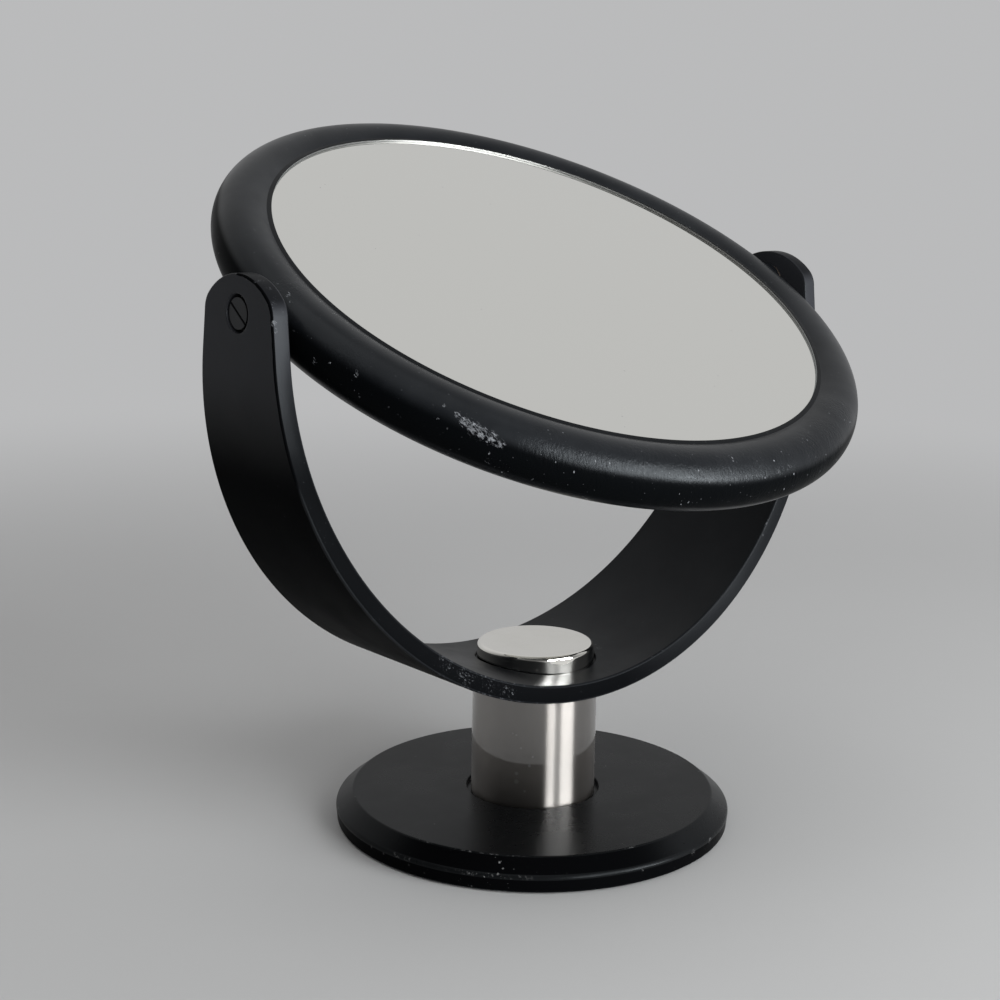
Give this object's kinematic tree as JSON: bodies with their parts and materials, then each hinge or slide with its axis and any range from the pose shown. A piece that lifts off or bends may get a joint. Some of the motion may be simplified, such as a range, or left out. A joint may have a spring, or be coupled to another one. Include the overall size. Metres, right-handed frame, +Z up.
{
  "type": "tilting table mirror",
  "caption": "Free-standing round vanity mirror: a two-sided mirror head turns in a U-shaped yoke on a short steel post and a bevelled round base.",
  "frame": {"origin": "centre of the underside of the base, where the foot pad meets the floor", "axes": "+Z up along the post, X along the axis the mirror head turns about with the worn ear at -X, and the plain glass faces up and towards -Y at rest"},
  "size_m": [0.1754, 0.1488, 0.1745],
  "materials": {
    "base_black": "satin black moulded plastic, chipped at the bevel",
    "weight_iron": "raw cast iron disc",
    "foot_foam": "fine-celled non-slip foam rubber",
    "fastener_steel": "zinc-plated steel",
    "tube_steel": "polished steel tube, lightly specked",
    "yoke_black": "satin blue-black lacquer, rubbed at the edges",
    "cap_chrome": "polished nickel plate",
    "insert_brass": "turned brass",
    "bush_nylon": "natural nylon",
    "ring_black": "black soft-touch coating over moulded plastic, scuffed",
    "mirror_plain": "plain silvered glass with a narrow ground bevel",
    "mirror_bent": "bent silvered glass, magnifying",
    "backing_foam": "grey expanded foam",
    "screw_black": "blackened steel",
    "washer_fibre": "black acetal"
  },
  "bodies": {
    "stand": {"base_shell": "base_black", "base_weight": "weight_iron", "foot_pad": "foot_foam", "tie_bolt": "fastener_steel", "tie_washer": "fastener_steel", "post_tube": "tube_steel", "yoke": "yoke_black", "cap": "cap_chrome", "cap_insert": "insert_brass", "pivot_bush_left": "bush_nylon", "pivot_bush_right": "bush_nylon"},
    "mirror_head": {"front_bezel": "ring_black", "rear_bezel": "ring_black", "front_glass": "mirror_plain", "rear_glass": "mirror_bent", "glass_backing_pad": "backing_foam", "pivot_nut_left": "insert_brass", "pivot_nut_right": "insert_brass", "pivot_screw_left": "screw_black", "pivot_screw_right": "screw_black", "friction_washer_left": "washer_fibre", "friction_washer_right": "washer_fibre", "spring_washer_left": "fastener_steel", "spring_washer_right": "fastener_steel"}
  },
  "joints": [
    {"name": "head_tilt", "type": "hinge", "parent": "stand", "child": "mirror_head", "pos_m": [0, 0, 0.1332], "axis": [1, 0, 0], "continuous": true}
  ]
}
